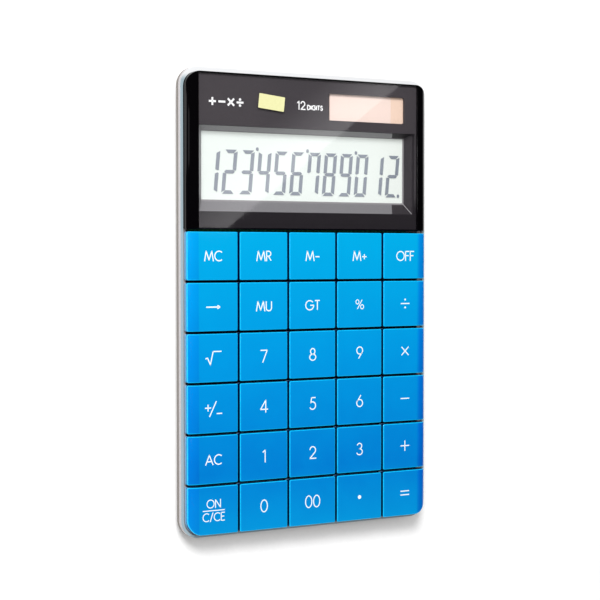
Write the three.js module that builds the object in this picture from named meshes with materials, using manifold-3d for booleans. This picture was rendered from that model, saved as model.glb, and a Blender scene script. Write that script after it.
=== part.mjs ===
// Slim desk calculator, lying face up on its four rubber feet.
// Millimetres. +X to the right of the face, +Y towards the display end, +Z out of the face.
// Origin: centre of the outline, on the plane that the feet stand on.
import * as THREE from 'three';
import { mergeVertices } from 'three/addons/utils/BufferGeometryUtils.js';
import Module from 'manifold-3d';

const wasm = await Module();
wasm.setup();

// Driving dimensions
const gap = 0.3; // clearance between neighbouring pieces
const body = { halfWidth: 52.4, halfLength: 84.4, corner: 6.6 };
const faceTop = 12.6; // height of the key tops and of the window
const plate = 2; // thickness of the key caps and of the window
const facePlateBottom = faceTop - plate;
const faceCorner = 5.4;
const keyGrid = { columns: 5, rows: 6, pitchX: 20.6, pitchY: 18.268, slot: 0.9, centreY: -28.8 };
const keyTravel = 1;
const keyRoll = { halfWidth: 51.1, width: 4.2, depth: 1.95 };
const windowRoll = { halfWidth: 51.5, width: 4.6, depth: 3.2 };

// Heights of the layers, from the feet up
const shellBottom = 1.2;
const wall = 1.6;
const shellEdge = { outer: { width: 6.5, height: 5.2 }, inner: { width: 3.6, height: 3.8 } }; // its lower edge
const floorTop = 2.6;
const boardBottom = floorTop + gap;
const boardTop = boardBottom + 1;
const matBottom = boardTop + gap;
const matTop = matBottom + 0.6;
const domeTop = 5.4; // drawn pushed in, so that a pressed key has room
const dome = { bottom: 4.4, top: 3.2 }; // radii
const shellTop = 6.95;
const deckBottom = shellTop + gap;
const deckTop = deckBottom + 0.6;
const frameTop = 9.1;
const skirtBottom = frameTop + gap;
const keyWallBottom = deckTop + keyTravel + 0.15;
const flange = { bottom: 6.6, top: deckBottom - gap };
const plunger = { half: 4, flangeHalf: 4.7 }; // square column under each key
const keyWall = 1;

// Inside of the side frame: half widths of the key well and of its lip, and its ends
const frame = { well: 51.4, lip: 49.9, front: -83.45, rear: 82.3 };
const deck = { halfWidth: 49.6, front: -82.9 };
const board = { halfWidth: 47.2, front: -80.5, shoulder: 65, neck: 41.2, rear: 80.2 };

// Display end
const windowY = { low: keyGrid.centreY + 3 * keyGrid.pitchY + keyGrid.slot / 2, high: 82.6 };
const lcd = { halfWidth: 43.3, low: 37.2, high: 61.9, top: 7.2 };
const lcdMouth = { halfWidth: 45.7, low: 32.9, high: 63.7 };
const solar = { x: 25.9, y: 72.45, width: 34.4, height: 11.4, thickness: 1.1 };
const cell = { x: 28, y: 70, radius: 5.8, height: 3.05, bottom: 3.8 };
const cover = { rim: 9.2, rimTop: 1.7, plug: 7.3, neck: 6.6, lug: 8.6, lugHalf: 1.8, lugTop: 3.5 };

// Fasteners and feet
const lowerScrews = [-1, 1].map((side) => [side * 1.5 * keyGrid.pitchX, rowY(4) - keyGrid.pitchY / 2]);
const upperScrews = [-1, 1].map((side) => [side * 44.9, 72]);
const postRadius = 2.5;
const postBottom = 5.1;
const postHoleTop = 7.3;
const screw = { shaft: 1, head: 2.2, headBottom: 1.6, headTop: 2.7, top: 7 };
const feet = { front_left: [-42, -74], front_right: [42, -74], rear_left: [-42, 61], rear_right: [42, 61] };
const foot = { radius: 4, top: 1.5 };
const boss = { radius: 3.2, seat: 3, top: 4.8 }; // round each screw, on the shell's floor

const colours = {
  keyBlue: 0x0496e6,
  windowBlack: 0x111013,
  frameSilver: 0xd9dcdd,
  shellGrey: 0x9d9890,
  deckBlack: 0x0d0f16,
  bezelGrey: 0x8b878a,
};

// Centre of a key column or row, counted from the left and from the display end
function columnX(column) {
  return (column - (keyGrid.columns - 1) / 2) * keyGrid.pitchX;
}

function rowY(row) {
  return keyGrid.centreY + ((keyGrid.rows - 1) / 2 - row) * keyGrid.pitchY;
}

// Solids: closed geometries become manifolds for joining and cutting, and come back as geometries
function toSolid(geometry) {
  geometry.deleteAttribute('normal');
  geometry.deleteAttribute('uv');
  const merged = mergeVertices(geometry, 1e-4);
  const mesh = new wasm.Mesh({
    numProp: 3,
    vertProperties: new Float32Array(merged.attributes.position.array),
    triVerts: new Uint32Array(merged.index.array),
  });
  return new wasm.Manifold(mesh);
}

function toGeometry(solid) {
  const { vertProperties, triVerts } = solid.getMesh();
  const geometry = new THREE.BufferGeometry();
  geometry.setAttribute('position', new THREE.BufferAttribute(new Float32Array(vertProperties), 3));
  geometry.setIndex(new THREE.BufferAttribute(new Uint32Array(triVerts), 1));
  geometry.computeVertexNormals();
  return geometry;
}

// Rectangle with round corners, or plain chamfers where a corner is under 1 mm.
// The corners run left-front, right-front, right-rear, left-rear.
function outline(left, right, front, rear, corners) {
  const shape = new THREE.Shape();
  const places = [[left, front], [right, front], [right, rear], [left, rear]];
  places.forEach(([x, y], i) => {
    const radius = Array.isArray(corners) ? corners[i] : corners;
    const centreX = x === left ? x + radius : x - radius;
    const centreY = y === front ? y + radius : y - radius;
    const start = Math.PI * (1 + i / 2);
    if (radius >= 1) {
      shape.absarc(centreX, centreY, radius, start, start + Math.PI / 2);
      return;
    }
    for (const angle of [start, start + Math.PI / 2]) {
      const point = [centreX + radius * Math.cos(angle), centreY + radius * Math.sin(angle)];
      if (i === 0 && angle === start) shape.moveTo(...point);
      else shape.lineTo(...point);
    }
  });
  shape.closePath();
  return shape;
}

function centredOutline(halfWidth, halfLength, radius) {
  return outline(-halfWidth, halfWidth, -halfLength, halfLength, radius);
}

function prism(shape, bottom, top, curveSegments = 4) {
  const options = { depth: top - bottom, bevelEnabled: false, curveSegments };
  return toSolid(new THREE.ExtrudeGeometry(shape, options).translate(0, 0, bottom));
}

function box(left, right, front, rear, bottom, top) {
  const geometry = new THREE.BoxGeometry(right - left, rear - front, top - bottom);
  return toSolid(geometry.translate((left + right) / 2, (front + rear) / 2, (bottom + top) / 2));
}

// Upright square block round x, y
function squareBlock(x, y, half, bottom, top) {
  return box(x - half, x + half, y - half, y + half, bottom, top);
}

function cylinder(x, y, radius, bottom, top, segments = 14, topRadius = radius) {
  const geometry = new THREE.CylinderGeometry(topRadius, radius, top - bottom, segments);
  return toSolid(geometry.rotateX(Math.PI / 2).translate(x, y, (bottom + top) / 2));
}

// Box whose top is another rectangle than its bottom, such as a funnel's inside
function taperedBox(lower, upper, bottom, top) {
  const geometry = new THREE.BoxGeometry(2, 2, 2);
  const position = geometry.attributes.position;
  for (let i = 0; i < position.count; i += 1) {
    const end = position.getZ(i) > 0 ? upper : lower;
    const y = position.getY(i) > 0 ? end.high : end.low;
    position.setXYZ(i, position.getX(i) * end.halfWidth, y, position.getZ(i) > 0 ? top : bottom);
  }
  return toSolid(geometry);
}

// The space under a face whose long edges roll over in a quarter ellipse
function rolledFace(roll, front, rear) {
  const shape = new THREE.Shape();
  const shoulder = roll.halfWidth - roll.width;
  const springLine = faceTop - roll.depth;
  shape.moveTo(-roll.halfWidth, 0);
  shape.lineTo(roll.halfWidth, 0);
  shape.absellipse(shoulder, springLine, roll.width, roll.depth, 0, Math.PI / 2, false, 0);
  shape.absellipse(-shoulder, springLine, roll.width, roll.depth, Math.PI / 2, Math.PI, false, 0);
  const options = { depth: rear - front, bevelEnabled: false, curveSegments: 4 };
  return toSolid(new THREE.ExtrudeGeometry(shape, options).rotateX(Math.PI / 2).translate(0, rear, 0));
}

// Block whose sides are inset from the body's outline and whose lower edge is rounded, from bottom up to top
function roundedTray(inset, edge, bottom, top) {
  const [halfWidth, halfLength] = [body.halfWidth - inset, body.halfLength - inset];
  const shape = centredOutline(halfWidth, halfLength, body.corner - inset);
  const geometry = new THREE.ExtrudeGeometry(shape, {
    depth: faceTop,
    curveSegments: 4,
    bevelThickness: edge.height,
    bevelSize: edge.width,
    bevelOffset: -edge.width,
    bevelSegments: 4,
  });
  const block = toSolid(geometry.translate(0, 0, bottom + edge.height));
  return block.intersect(box(-halfWidth - 1, halfWidth + 1, -halfLength - 1, halfLength + 1, bottom - 1, top));
}

const calculator = new THREE.Group();

function addPiece(name, solid, colour, roughness, metalness = 0) {
  const material = new THREE.MeshStandardMaterial({ color: colour, roughness, metalness });
  const mesh = new THREE.Mesh(toGeometry(solid), material);
  mesh.name = name;
  calculator.add(mesh);
}

function makeBackShell() {
  const outer = roundedTray(0, shellEdge.outer, shellBottom, shellTop);
  const cavity = roundedTray(wall, shellEdge.inner, floorTop, shellTop + 1);
  let shell = outer.subtract(cavity);
  for (const [x, y] of [...lowerScrews, ...upperScrews]) {
    shell = shell.add(cylinder(x, y, boss.radius, floorTop - 0.4, boss.top));
    shell = shell.subtract(cylinder(x, y, screw.head + 0.4, 0, boss.seat));
    shell = shell.subtract(cylinder(x, y, screw.shaft + gap, boss.seat - 1, boss.top + 1));
  }
  for (const [x, y] of Object.values(feet)) {
    shell = shell.subtract(cylinder(x, y, foot.radius + gap, 0, foot.top + gap, 18));
  }
  const lugReach = cover.lug + gap;
  const notch = box(-lugReach, lugReach, -cover.lugHalf - gap, cover.lugHalf + gap, 0, 3);
  const openings = [
    cylinder(0, 0, cover.rim + gap, 0, cover.rimTop + gap, 32),
    cylinder(0, 0, cover.plug + gap, 0, 4, 32),
    notch.rotate([0, 0, 60]),
  ];
  for (const opening of openings) {
    shell = shell.subtract(opening.translate([cell.x, cell.y, 0]));
  }
  return shell;
}

// Ring around the face: a 1 mm wall, with a lip at deck height under the outer key columns
function makeSideFrame() {
  const ring = prism(centredOutline(body.halfWidth, body.halfLength, body.corner), deckBottom, frameTop);
  const well = outline(-frame.well, frame.well, frame.front, frame.rear, 5.6);
  const opening = outline(-frame.lip, frame.lip, frame.front + 0.25, frame.rear, 4);
  return ring.subtract(prism(well, deckTop, frameTop + 1)).subtract(prism(opening, deckBottom - 1, frameTop));
}

function makeKeyDeck() {
  const rear = windowY.low - keyGrid.slot / 2 - gap / 2;
  const shape = outline(-deck.halfWidth, deck.halfWidth, deck.front, rear, [4, 4, 0.5, 0.5]);
  let plateSolid = prism(shape, deckBottom, deckTop);
  const opening = squareBlock(0, 0, plunger.half + gap, deckBottom - 1, deckTop + 1);
  for (let row = 0; row < keyGrid.rows; row += 1) {
    for (let column = 0; column < keyGrid.columns; column += 1) {
      plateSolid = plateSolid.subtract(opening.translate([columnX(column), rowY(row), 0]));
    }
  }
  for (const [x, y] of lowerScrews) {
    plateSolid = addPost(plateSolid, x, y, deckBottom);
  }
  return plateSolid;
}

// Post that hangs from a plate, with a blind hole for a screw
function addPost(plateSolid, x, y, plateUnderside) {
  const post = cylinder(x, y, postRadius, postBottom, plateUnderside + 0.2);
  return plateSolid.add(post).subtract(cylinder(x, y, screw.shaft + gap, postBottom - 1, postHoleTop));
}

function makeKeyMat() {
  const shape = outline(-board.halfWidth, board.halfWidth, board.front, 24.8, 2);
  let mat = prism(shape, matBottom, matTop);
  for (let row = 0; row < keyGrid.rows; row += 1) {
    for (let column = 0; column < keyGrid.columns; column += 1) {
      mat = mat.add(cylinder(columnX(column), rowY(row), dome.bottom, matTop - 0.1, domeTop, 9, dome.top));
    }
  }
  for (const [x, y] of lowerScrews) {
    mat = mat.subtract(cylinder(x, y, boss.radius + 0.4, 3, 6));
  }
  return mat;
}

function makeCircuitBoard() {
  const main = outline(-board.halfWidth, board.halfWidth, board.front, board.shoulder, 2);
  const neck = outline(-board.neck, board.neck, board.shoulder - 5, board.rear, 2);
  let sheet = prism(main, boardBottom, boardTop).add(prism(neck, boardBottom, boardTop));
  for (const [x, y] of lowerScrews) {
    sheet = sheet.subtract(cylinder(x, y, boss.radius + 0.4, 2, 5));
  }
  return sheet.subtract(cylinder(cell.x, cell.y, cover.lug + gap, 2, 5, 24));
}

function makeController() {
  const [radius, height] = [5, 1.7];
  const profile = [new THREE.Vector2(0, 0), new THREE.Vector2(radius, 0)];
  for (let step = 1; step <= 4; step += 1) {
    const angle = (step / 4) * (Math.PI / 2);
    profile.push(new THREE.Vector2(step === 4 ? 0 : radius * Math.cos(angle), height * Math.sin(angle)));
  }
  const geometry = new THREE.LatheGeometry(profile, 16);
  return toSolid(geometry.rotateX(Math.PI / 2).translate(-22, 72, boardTop + gap));
}

// Plate under the window, with a funnel down to the liquid crystal glass and a pocket for the solar cell
function makeDisplayFrame() {
  const plateTop = facePlateBottom - gap;
  const plateBottom = plateTop - 0.6;
  const shape = outline(-48.9, 48.9, windowY.low + 0.2, 80.6, [0.5, 0.5, 3, 3]);
  const funnelWall = 1.2;
  const { halfWidth, low, high } = lcdMouth;
  const outerX = halfWidth + funnelWall;
  let piece = prism(shape, plateBottom, plateTop);
  piece = piece.add(box(-outerX, outerX, low - funnelWall, high + funnelWall, lcd.top, plateTop - 0.2));
  piece = piece.subtract(taperedBox(lcd, lcdMouth, lcd.top, plateTop));
  const throat = [-lcd.halfWidth, lcd.halfWidth, lcd.low, lcd.high];
  piece = piece.subtract(box(...throat, lcd.top - 1, lcd.top + 0.2));
  piece = piece.subtract(box(-halfWidth, halfWidth, low, high, plateTop - 0.05, plateTop + 1));
  const [halfX, halfY] = [solar.width / 2 + gap, solar.height / 2 + gap];
  const pocket = [solar.x - halfX, solar.x + halfX, solar.y - halfY, solar.y + halfY];
  for (const [x, y] of upperScrews) {
    piece = addPost(piece, x, y, plateBottom);
  }
  return piece.subtract(box(...pocket, plateBottom - 1, plateTop + 1));
}

function makeDisplayWindow() {
  const skirt = 1.8;
  const corners = [0.4, 0.4, faceCorner, faceCorner];
  const innerCorners = [0.4, 0.4, faceCorner - skirt, faceCorner - skirt];
  const { halfWidth } = windowRoll;
  const { low, high } = windowY;
  const block = prism(outline(-halfWidth, halfWidth, low, high, corners), skirtBottom, faceTop);
  const pocket = outline(-halfWidth + skirt, halfWidth - skirt, low - 2, high - skirt, innerCorners);
  const rolled = block.intersect(rolledFace(windowRoll, low - 1, high + 1));
  return rolled.subtract(prism(pocket, skirtBottom - 1, facePlateBottom));
}

function makeSolarCell() {
  const top = facePlateBottom - gap;
  const [halfX, halfY] = [solar.width / 2, solar.height / 2];
  return box(solar.x - halfX, solar.x + halfX, solar.y - halfY, solar.y + halfY, top - solar.thickness, top);
}

function makeSolarLead(x) {
  const route = new THREE.CatmullRomCurve3([
    new THREE.Vector3(x, 69.5, 8.9),
    new THREE.Vector3(x, 69, 7.2),
    new THREE.Vector3(x, 67, 5.6),
    new THREE.Vector3(x, 66.6, boardTop + gap),
  ]);
  const section = new THREE.Shape().absarc(0, 0, 0.4, 0, 2 * Math.PI);
  return toSolid(new THREE.ExtrudeGeometry(section, { steps: 8, curveSegments: 4, extrudePath: route }));
}

function makeLabel() {
  const geometry = new THREE.BoxGeometry(10.7, 5.3, 0.12);
  return toSolid(geometry.rotateZ(-Math.PI / 30).translate(-17.4, 72.7, faceTop + 0.08));
}

function makeCapacitor() {
  const geometry = new THREE.CylinderGeometry(2, 2, 7, 16);
  return toSolid(geometry.rotateZ(Math.PI / 2).translate(-5, 73, boardTop + gap + 2));
}

function makeCoinCell() {
  return cylinder(cell.x, cell.y, cell.radius, cell.bottom, cell.bottom + cell.height, 28);
}

function makeTopContact() {
  const bottom = cell.bottom + cell.height + gap;
  const blade = box(cell.x - 4, 40.2, cell.y - 2, cell.y + 2, bottom, bottom + 0.3);
  return blade.add(box(39.9, 40.2, cell.y - 2, cell.y + 2, boardTop + gap, bottom + 0.3));
}

function makeSideContact() {
  const right = cell.x - cell.radius - gap;
  const blade = box(right - 0.3, right, cell.y - 2, cell.y + 2, boardTop + gap, cell.bottom + cell.height);
  return blade.add(box(14, right, cell.y - 2, cell.y + 2, boardTop + gap, boardTop + 2 * gap));
}

// Twist cover: a rim that closes the bay, a plug in the bay's mouth, and two lugs that catch above the floor
function makeBatteryCover() {
  const rim = cylinder(0, 0, cover.rim, shellBottom, cover.rimTop, 32);
  const plug = cylinder(0, 0, cover.plug, cover.rimTop - 0.1, 2.3, 24);
  const neck = cylinder(0, 0, cover.neck, 2.2, cover.lugTop - 0.1, 20);
  const lugs = box(-cover.lug, cover.lug, -cover.lugHalf, cover.lugHalf, boardBottom, cover.lugTop);
  const coinSlot = box(-6, 6, -0.8, 0.8, 0, 1.9);
  return rim.add(plug).add(neck).add(lugs).subtract(coinSlot).translate([cell.x, cell.y, 0]);
}

function makeScrew([x, y]) {
  const shaft = cylinder(x, y, screw.shaft, screw.headTop - 0.2, screw.top, 12);
  let piece = shaft.add(cylinder(x, y, screw.head, screw.headBottom, screw.headTop, 16));
  const [long, short] = [1.3, 0.3];
  piece = piece.subtract(box(x - long, x + long, y - short, y + short, 0, 2.2));
  return piece.subtract(box(x - short, x + short, y - long, y + long, 0, 2.2));
}

const keyNames = [
  ['mc', 'mr', 'm_minus', 'm_plus', 'off'],
  ['backspace', 'mu', 'gt', 'percent', 'divide'],
  ['root', '7', '8', '9', 'multiply'],
  ['sign', '4', '5', '6', 'minus'],
  ['ac', '1', '2', '3', 'plus'],
  ['on_clear', '0', '00', 'point', 'equals'],
];

// One key: a cap whose outer edge rolls over, a wall under it, a square plunger that goes through the deck,
// and a flange below the deck that keeps the key from falling out
function makeKey(row, place) {
  const [x, y] = [columnX(place), rowY(row)];
  const halfX = (keyGrid.pitchX - keyGrid.slot) / 2;
  const halfY = (keyGrid.pitchY - keyGrid.slot) / 2;
  const lastColumn = keyGrid.columns - 1;
  const cornerKey = row === keyGrid.rows - 1 ? { 0: 0, [lastColumn]: 1 }[place] : undefined;
  const corners = [0.5, 0.5, 0.5, 0.5].map((radius, i) => (i === cornerKey ? faceCorner : radius));
  const inner = corners.map((radius) => Math.max(radius - keyWall, 0.2));
  let cap = prism(outline(x - halfX, x + halfX, y - halfY, y + halfY, corners), keyWallBottom, faceTop, 3);
  if (place === 0 || place === lastColumn) {
    cap = cap.intersect(rolledFace(keyRoll, y - halfY - 1, y + halfY + 1));
  }
  const [innerX, innerY] = [halfX - keyWall, halfY - keyWall];
  const hollow = outline(x - innerX, x + innerX, y - innerY, y + innerY, inner);
  cap = cap.subtract(prism(hollow, keyWallBottom - 1, facePlateBottom, 3));
  const column = squareBlock(x, y, plunger.half, flange.bottom, facePlateBottom + 0.2);
  return cap.add(column).add(squareBlock(x, y, plunger.flangeHalf, flange.bottom, flange.top));
}

addPiece('back_shell', makeBackShell(), colours.shellGrey, 0.45);
addPiece('side_frame', makeSideFrame(), colours.frameSilver, 0.25);
addPiece('key_deck', makeKeyDeck(), colours.deckBlack, 0.6);
addPiece('key_mat', makeKeyMat(), 0xb9bcb8, 0.8);
addPiece('circuit_board', makeCircuitBoard(), 0x2f6b3c, 0.5);
addPiece('controller_blob', makeController(), 0x111111, 0.35);
addPiece('storage_capacitor', makeCapacitor(), 0x1d2a55, 0.4);
addPiece('display_frame', makeDisplayFrame(), colours.bezelGrey, 0.5);
addPiece('lcd_glass', box(-46.4, 46.4, 34, 63.2, 5.3, lcd.top - gap), 0xdfe6df, 0.1);
addPiece('lcd_reflector', box(-45, 45, 34.5, 60.6, 4.8, 5), 0xd8dcd6, 0.4, 0.6);
addPiece('lcd_connector', box(-42, 42, 61.2, 62.8, boardTop + gap, 5), 0x3a3d42, 0.8);
addPiece('display_window', makeDisplayWindow(), colours.windowBlack, 0.08);
addPiece('solar_cell', makeSolarCell(), 0xf0d9c8, 0.25);
addPiece('solar_lead_positive', makeSolarLead(10), 0xb02a22, 0.5);
addPiece('solar_lead_negative', makeSolarLead(12.5), 0x151515, 0.5);
addPiece('window_label', makeLabel(), 0xf7f58c, 0.6);
addPiece('coin_cell', makeCoinCell(), 0xc6c8ca, 0.25, 1);
addPiece('cell_top_contact', makeTopContact(), 0xc9c2a4, 0.35, 1);
addPiece('cell_side_contact', makeSideContact(), 0xc9c2a4, 0.35, 1);
addPiece('battery_cover', makeBatteryCover(), colours.shellGrey, 0.45);
for (const [place, [x, y]] of Object.entries(feet)) {
  addPiece(`foot_${place}`, cylinder(x, y, foot.radius, 0, foot.top, 24), 0x3c3b3a, 0.9);
}
Object.keys(feet).forEach((place, i) => {
  addPiece(`screw_${place}`, makeScrew([...lowerScrews, ...upperScrews][i]), 0x9a9a9c, 0.35, 1);
});
keyNames.forEach((names, row) => {
  names.forEach((name, column) => {
    addPiece(`key_${name}`, makeKey(row, column), colours.keyBlue, 0.12);
  });
});

export default calculator;
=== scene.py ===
import math
import bmesh
import bpy
from mathutils import Matrix, Vector


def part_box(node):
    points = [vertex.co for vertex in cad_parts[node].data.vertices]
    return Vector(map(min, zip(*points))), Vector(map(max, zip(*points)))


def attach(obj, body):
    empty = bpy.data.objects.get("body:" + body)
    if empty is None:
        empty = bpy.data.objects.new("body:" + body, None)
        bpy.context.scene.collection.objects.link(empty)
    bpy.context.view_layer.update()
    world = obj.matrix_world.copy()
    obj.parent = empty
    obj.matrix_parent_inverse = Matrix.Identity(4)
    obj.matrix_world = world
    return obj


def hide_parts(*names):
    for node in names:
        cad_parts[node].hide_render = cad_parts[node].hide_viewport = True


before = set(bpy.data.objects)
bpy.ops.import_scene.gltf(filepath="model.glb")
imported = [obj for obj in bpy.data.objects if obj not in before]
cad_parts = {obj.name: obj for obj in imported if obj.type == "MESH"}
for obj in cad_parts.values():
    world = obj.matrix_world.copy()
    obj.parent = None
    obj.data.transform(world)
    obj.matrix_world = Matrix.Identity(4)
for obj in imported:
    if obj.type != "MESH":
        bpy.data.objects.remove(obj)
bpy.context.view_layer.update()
scene = bpy.context.scene
mm = 0.001

# places that everything else is worked out from
keyNames = [
    ["mc", "mr", "m_minus", "m_plus", "off"],
    ["backspace", "mu", "gt", "percent", "divide"],
    ["root", "7", "8", "9", "multiply"],
    ["sign", "4", "5", "6", "minus"],
    ["ac", "1", "2", "3", "plus"],
    ["on_clear", "0", "00", "point", "equals"],
]
windowLow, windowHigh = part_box("display_window")
frameLow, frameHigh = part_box("side_frame")
shellLow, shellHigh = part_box("back_shell")
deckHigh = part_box("key_deck")[1]
faceTop = windowHigh.z
faceCorner = 5.4 * mm
bodyCorner = 6.6 * mm
capDepth = 2.12 * mm  # the inked cap of a key, above its pale base
sameSpot = 1e-7  # points nearer than this are one point


# a wire is one shader socket that takes part in Python arithmetic
class Wire:
    def __init__(self, sheet, socket):
        self.sheet = sheet
        self.socket = socket

    def math(self, operation, first, second=0.0):
        return self.sheet.node("ShaderNodeMath", {"operation": operation}, {0: first, 1: second})

    def __add__(self, other):
        return self.math("ADD", self, other)

    def __sub__(self, other):
        return self.math("SUBTRACT", self, other)

    def __rsub__(self, other):
        return self.math("SUBTRACT", other, self)

    def __mul__(self, other):
        return self.math("MULTIPLY", self, other)

    def __truediv__(self, other):
        return self.math("DIVIDE", self, other)

    def __gt__(self, other):
        return self.math("GREATER_THAN", self, other)

    def __lt__(self, other):
        return self.math("LESS_THAN", self, other)

    def __abs__(self):
        return self.math("ABSOLUTE", self)


class Finish:
    def __init__(self, name):
        self.material = bpy.data.materials.new(name)
        self.material.use_nodes = True
        self.tree = self.material.node_tree
        self.tree.nodes.clear()
        self.end = self.tree.nodes.new("ShaderNodeOutputMaterial")

    def node(self, kind, settings=None, sockets=None, out=0):
        made = self.tree.nodes.new(kind)
        for setting, value in (settings or {}).items():
            if setting == "stops":
                self.setStops(made.color_ramp, value)
            else:
                setattr(made, setting, value)
        for key, value in (sockets or {}).items():
            if isinstance(value, Wire):
                self.tree.links.new(value.socket, made.inputs[key])
            else:
                made.inputs[key].default_value = value
        return Wire(self, made.outputs[out])

    def setStops(self, ramp, stops):
        while len(ramp.elements) < len(stops):
            ramp.elements.new(0.5)
        for element, (place, colour) in zip(ramp.elements, stops):
            element.position = place
            element.color = rgba(colour)

    def place(self):
        return self.node("ShaderNodeTexCoord", out="Object")

    def axis(self, letter):
        return self.node("ShaderNodeSeparateXYZ", sockets={0: self.place()}, out="XYZ".index(letter))

    def noise(self, size, detail=2.0, stretch=(1, 1, 1)):
        spread = self.node("ShaderNodeMapping", sockets={"Vector": self.place(), "Scale": stretch})
        sockets = {"Vector": spread, "Scale": 1 / size, "Detail": detail}
        return self.node("ShaderNodeTexNoise", sockets=sockets)

    def ramp(self, value, stops):
        return self.node("ShaderNodeValToRGB", {"stops": stops}, {"Fac": value})

    def fade(self, value, start, end, low=0.0, high=1.0):
        settings = {"interpolation_type": "SMOOTHSTEP"}
        sockets = {"Value": value, "From Min": start, "From Max": end, "To Min": low, "To Max": high}
        return self.node("ShaderNodeMapRange", settings, sockets)

    def mix(self, factor, first, second, blend="MIX"):
        first = first if isinstance(first, Wire) else rgba(first)
        second = second if isinstance(second, Wire) else rgba(second)
        settings = {"data_type": "RGBA", "blend_type": blend}
        return self.node("ShaderNodeMix", settings, {0: factor, 6: first, 7: second}, out=2)

    def mottle(self, grain, first, second, most=1.0):
        # two colours that change over with the grain
        return self.mix(self.fade(grain, 0.3, 0.7, 0, most), first, second)

    def pingPong(self, value, pitch):
        # rises and falls between 0 and the pitch
        return self.node("ShaderNodeMath", {"operation": "PINGPONG"}, {0: value, 1: pitch})

    def bump(self, height, distance, strength=1.0):
        sockets = {"Height": height, "Distance": distance, "Strength": strength}
        return self.node("ShaderNodeBump", sockets=sockets, out="Normal")

    def surface(self, colour, roughness, **others):
        colour = colour if isinstance(colour, Wire) else rgba(colour)
        sockets = {"Base Color": colour, "Roughness": roughness}
        for name, value in others.items():
            sockets[name.replace("_", " ")] = value
        shader = self.node("ShaderNodeBsdfPrincipled", sockets=sockets)
        return self.show(shader)

    def show(self, shader):
        self.tree.links.new(shader.socket, self.end.inputs["Surface"])
        return self.material


def rgba(colour):
    return (colour[0], colour[1], colour[2], 1.0)


def dim(colour, share):
    return tuple(value * share for value in colour)


# the blue is printed under clear acrylic; painted light makes it lighter near the display and darker down
# the key field, and painted shade makes the rolled edges darker and bluer
keyPaint = dict(
    rightRollShade=(46.3 * mm, 48.2 * mm), leftRollShade=(-47.2 * mm, -46.8 * mm),
    upper=(0.0004, 0.325, 0.620), middle=(0.0004, 0.244, 0.585), lower=(0.0005, 0.165, 0.510),
    # rim is a painted highlight, the colour of the lit chamfer
    foot=(0.0012, 0.235, 0.560), rim=(0.004, 0.46, 0.86), rightRollShadeGreen=0.62, leftRollShadeGreen=0.82, roughness=0.07,
)


def keyFaceFinish():
    sheet = Finish("key blue")
    x, y = sheet.axis("X"), sheet.axis("Y")
    fieldTop = windowLow.y
    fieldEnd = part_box("key_0")[0].y
    share = (fieldTop - y) / (fieldTop - fieldEnd)
    # painted light: the print is lightest by the display and darkest in the lower rows
    stops = [(0.0, keyPaint["upper"]), (0.42, keyPaint["middle"]),
             (0.80, keyPaint["lower"]), (1.0, keyPaint["foot"])]
    field = sheet.ramp(share, stops)
    # painted shade on the rolled long edges, the right one darkest
    roll = sheet.fade(x, *keyPaint["rightRollShade"])
    rightRollShaded = sheet.mix(roll, field, (1.0, keyPaint["rightRollShadeGreen"], 0.97), "MULTIPLY")
    leftRollShade = sheet.fade(x, *keyPaint["leftRollShade"], 1, 0)
    rollsShaded = sheet.mix(leftRollShade, rightRollShaded, (1.0, keyPaint["leftRollShadeGreen"], 1.0), "MULTIPLY")
    cloud = sheet.noise(9 * mm, 3)
    mottled = sheet.mottle(cloud, rollsShaded, (0.0, 0.42, 0.8), 0.05)
    dust = sheet.noise(0.35 * mm, 4)
    roughness = sheet.fade(dust, 0.3, 0.8, keyPaint["roughness"] - 0.02, keyPaint["roughness"] + 0.02)
    wave = sheet.noise(6 * mm, 1)
    return sheet.surface(mottled, roughness, IOR=1.49, Normal=sheet.bump(wave, 0.01 * mm, 0.15))


def keyRimFinish():
    # painted highlight: the polished chamfer is coloured a brighter cyan for the light that gathers in it
    sheet = Finish("key rim highlight")
    grain = sheet.noise(0.8 * mm, 2)
    colour = sheet.mix(sheet.fade(grain, 0.35, 0.65), keyPaint["rim"], dim(keyPaint["rim"], 0.86))
    return sheet.surface(colour, 0.15, IOR=1.49, Normal=sheet.bump(grain, 0.01 * mm, 0.2))


def keySideFinish():
    # dark ink on the cut edge of the cap, and the pale base moulding under it
    sheet = Finish("key side")
    z = sheet.axis("Z")
    capBottom = faceTop - capDepth
    base = sheet.fade(z, capBottom - 0.1 * mm, capBottom, 1, 0)
    grain = sheet.noise(0.5 * mm, 3)
    pale = sheet.mottle(grain, (0.19, 0.40, 0.60), (0.26, 0.48, 0.70))
    colour = sheet.mix(base, (0.0006, 0.0022, 0.052), pale)
    return sheet.surface(colour, 0.35, IOR=1.49, Normal=sheet.bump(grain, 0.01 * mm, 0.3))


def inkFinish(name, colour, roughness=0.45):
    sheet = Finish(name)
    grain = sheet.noise(0.25 * mm, 3)
    mottled = sheet.mix(sheet.fade(grain, 0.35, 0.75), colour, dim(colour, 0.9))
    return sheet.surface(mottled, roughness, Normal=sheet.bump(grain, 0.004 * mm, 0.3))


windowBlack = dict(
    ink=(0.0012, 0.0010, 0.0014), dust=(0.004, 0.004, 0.005), matt=(0.002, 0.002, 0.0025),
    gloss=(0.05, 0.11), foot=(0.75 * mm, 0.95 * mm),
)


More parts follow.
